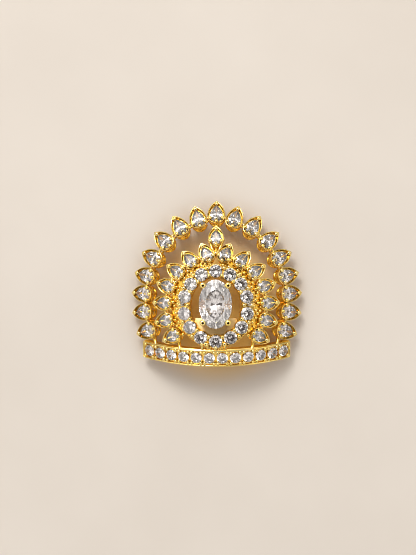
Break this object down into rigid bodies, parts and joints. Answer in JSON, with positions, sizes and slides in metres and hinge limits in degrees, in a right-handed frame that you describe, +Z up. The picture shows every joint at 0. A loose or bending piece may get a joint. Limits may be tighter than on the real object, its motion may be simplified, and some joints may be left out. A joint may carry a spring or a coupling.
{
  "type": "deity crown",
  "caption": "Openwork gold crown front for a statue, with two arches of clear pear stones round a haloed oval stone, on a curved base band set with round stones.",
  "frame": {"origin": "under the middle of the crown as it lies on its back, on the plane it lies on", "axes": "+Z up out of the crown's face, +Y from the base band to the crown's top, +X to the right as seen from the front"},
  "size_m": [0.0318, 0.0308, 0.0101],
  "materials": {
    "gold_plated_brass": "polished",
    "clear_stone": "clear, facet cut"
  },
  "bodies": {
    "root": {"cast_frame": "gold_plated_brass", "outer_pear_01": "clear_stone", "outer_pear_02": "clear_stone", "outer_pear_03": "clear_stone", "outer_pear_04": "clear_stone", "outer_pear_05": "clear_stone", "outer_pear_06": "clear_stone", "outer_pear_07": "clear_stone", "outer_pear_08": "clear_stone", "outer_pear_09": "clear_stone", "outer_pear_10": "clear_stone", "outer_pear_11": "clear_stone", "outer_pear_12": "clear_stone", "outer_pear_13": "clear_stone", "outer_pear_14": "clear_stone", "outer_pear_15": "clear_stone", "outer_pear_16": "clear_stone", "outer_pear_17": "clear_stone", "inner_pear_01": "clear_stone", "inner_pear_02": "clear_stone", "inner_pear_03": "clear_stone", "inner_pear_04": "clear_stone", "inner_pear_05": "clear_stone", "inner_pear_06": "clear_stone", "inner_pear_07": "clear_stone", "inner_pear_08": "clear_stone", "inner_pear_09": "clear_stone", "inner_pear_10": "clear_stone", "inner_pear_11": "clear_stone", "inner_pear_12": "clear_stone", "inner_pear_13": "clear_stone", "inner_pear_14": "clear_stone", "inner_pear_15": "clear_stone", "halo_round_01": "clear_stone", "halo_round_02": "clear_stone", "halo_round_03": "clear_stone", "halo_round_04": "clear_stone", "halo_round_05": "clear_stone", "halo_round_06": "clear_stone", "halo_round_07": "clear_stone", "halo_round_08": "clear_stone", "halo_round_09": "clear_stone", "halo_round_10": "clear_stone", "halo_round_11": "clear_stone", "halo_round_12": "clear_stone", "halo_round_13": "clear_stone", "halo_round_14": "clear_stone", "band_round_01": "clear_stone", "band_round_02": "clear_stone", "band_round_03": "clear_stone", "band_round_04": "clear_stone", "band_round_05": "clear_stone", "band_round_06": "clear_stone", "band_round_07": "clear_stone", "band_round_08": "clear_stone", "band_round_09": "clear_stone", "band_round_10": "clear_stone", "band_round_11": "clear_stone", "band_round_12": "clear_stone", "centre_oval": "clear_stone"}
  },
  "joints": []
}
